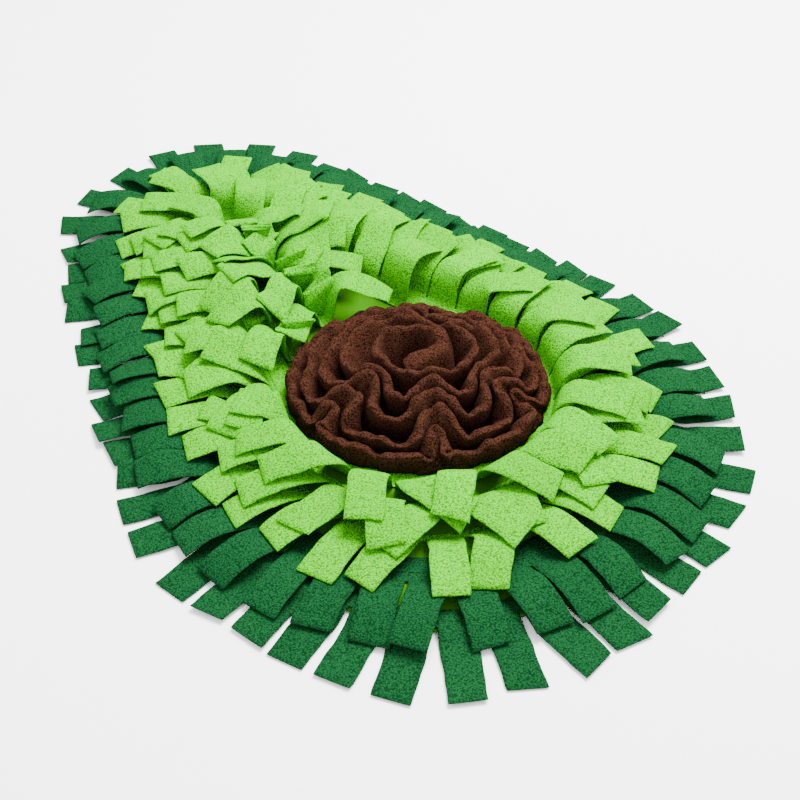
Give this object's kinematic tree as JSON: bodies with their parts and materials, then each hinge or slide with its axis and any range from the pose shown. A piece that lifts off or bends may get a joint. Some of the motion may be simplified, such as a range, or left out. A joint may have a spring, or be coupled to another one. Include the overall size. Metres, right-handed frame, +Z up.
{
  "type": "snuffle mat",
  "caption": "Avocado-shaped snuffle mat with overlapping rows of cut fleece strips, dark green outside and light green inside, round a wound brown fleece rosette.",
  "frame": {"origin": "on the floor, under the middle of the mat's bounding box", "axes": "+Z up, +Y towards the mat's narrow end"},
  "size_m": [0.4965, 0.7297, 0.0569],
  "materials": {
    "base_cloth": "matt yellow-green cloth",
    "dark_fleece": "matt, softly napped dark green fleece",
    "light_fleece": "matt, softly napped light green fleece",
    "brown_fleece": "matt, softly napped brown fleece"
  },
  "bodies": {
    "root": {"base_panel": "base_cloth", "fringe_dark_lower": "dark_fleece", "fringe_dark_upper": "dark_fleece", "fringe_light_outer": "light_fleece", "fringe_light_middle": "light_fleece", "fringe_light_inner": "light_fleece", "fringe_light_neck": "light_fleece", "fringe_light_centre": "light_fleece", "rosette": "brown_fleece"}
  },
  "joints": []
}
